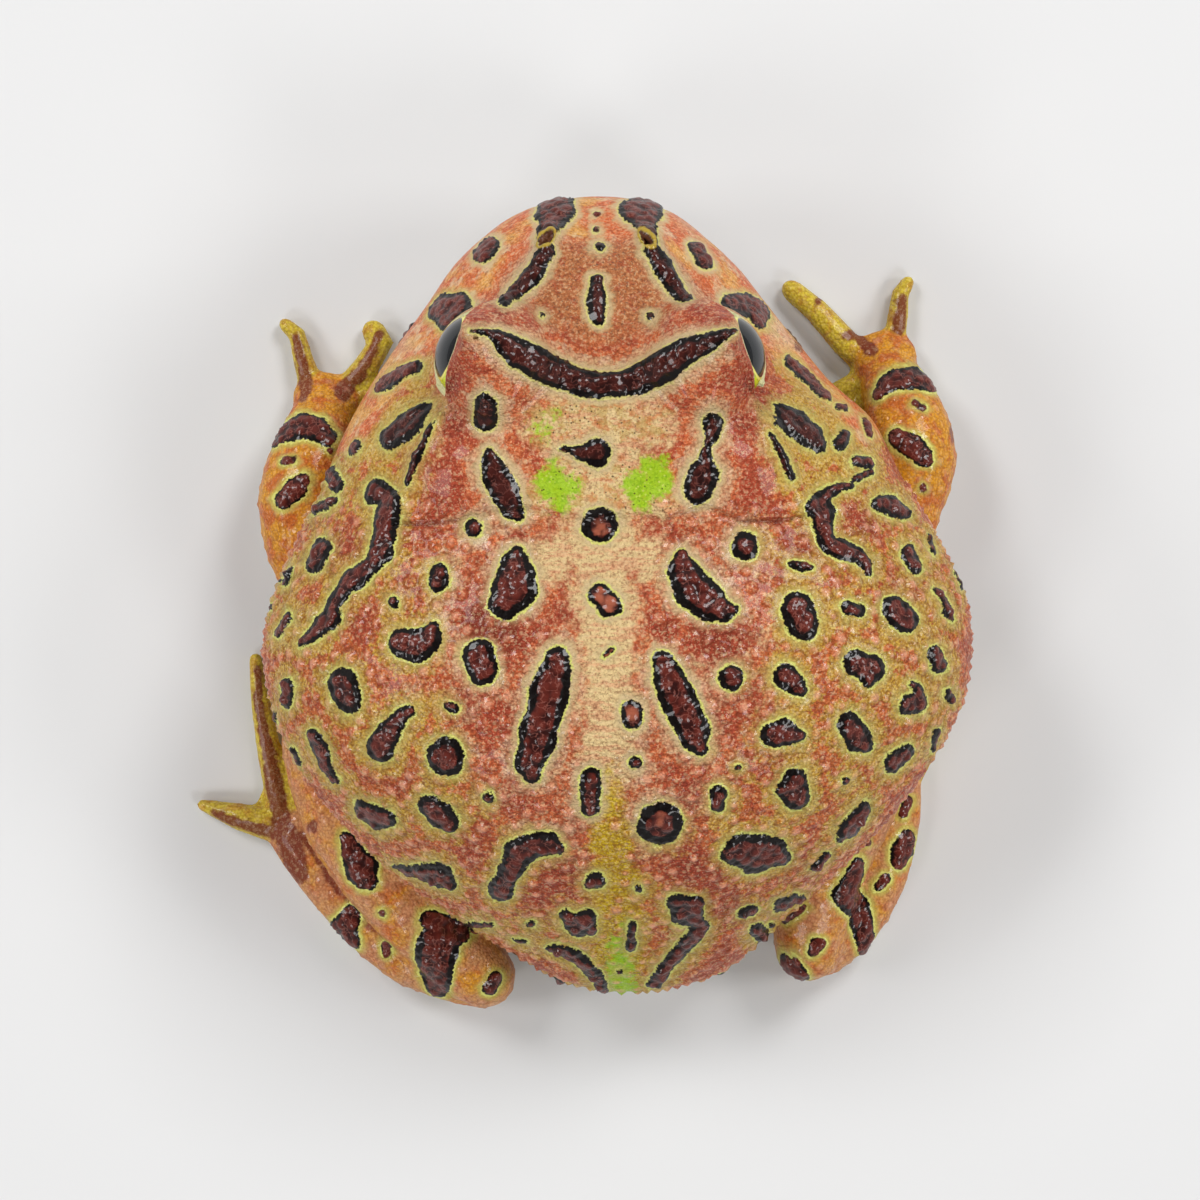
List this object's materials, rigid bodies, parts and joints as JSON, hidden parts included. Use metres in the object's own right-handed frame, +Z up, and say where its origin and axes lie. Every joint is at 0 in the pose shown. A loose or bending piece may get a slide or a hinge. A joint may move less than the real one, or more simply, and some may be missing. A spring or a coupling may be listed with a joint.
{
  "type": "argentine horned frog, life-size still model",
  "caption": "Squat, round horned frog resting on its belly with its limbs folded, wide flat mouth, raised eyes under small horns, spotted moist skin.",
  "frame": {"origin": "on the floor, on the flat of the belly, about half way between snout and vent", "axes": "+Z up, the snout looks along -Y, the frog's left side is +X"},
  "size_m": [0.109, 0.1139, 0.0494],
  "materials": {
    "back_skin": "moist, glossy skin with low warts",
    "limb_skin": "moist, glossy skin, finer warts",
    "throat_skin": "moist, pale, smooth skin",
    "eye": "wet, mirror-like"
  },
  "bodies": {
    "root": {"torso": "back_skin", "head": "back_skin", "eyelid_left": "back_skin", "eyelid_right": "back_skin", "lower_jaw": "throat_skin", "upper_arm_left": "limb_skin", "forearm_left": "limb_skin", "hand_left": "limb_skin", "finger_1_left": "limb_skin", "finger_2_left": "limb_skin", "finger_3_left": "limb_skin", "finger_4_left": "limb_skin", "upper_arm_right": "limb_skin", "forearm_right": "limb_skin", "hand_right": "limb_skin", "finger_1_right": "limb_skin", "finger_2_right": "limb_skin", "finger_3_right": "limb_skin", "finger_4_right": "limb_skin", "thigh_left": "limb_skin", "shank_left": "limb_skin", "foot_left": "limb_skin", "toe_1_left": "limb_skin", "toe_2_left": "limb_skin", "toe_3_left": "limb_skin", "toe_4_left": "limb_skin", "toe_5_left": "limb_skin", "thigh_right": "limb_skin", "shank_right": "limb_skin", "foot_right": "limb_skin", "toe_1_right": "limb_skin", "toe_2_right": "limb_skin", "toe_3_right": "limb_skin", "toe_4_right": "limb_skin", "toe_5_right": "limb_skin", "eye_left": "eye", "eye_right": "eye"}
  },
  "joints": []
}
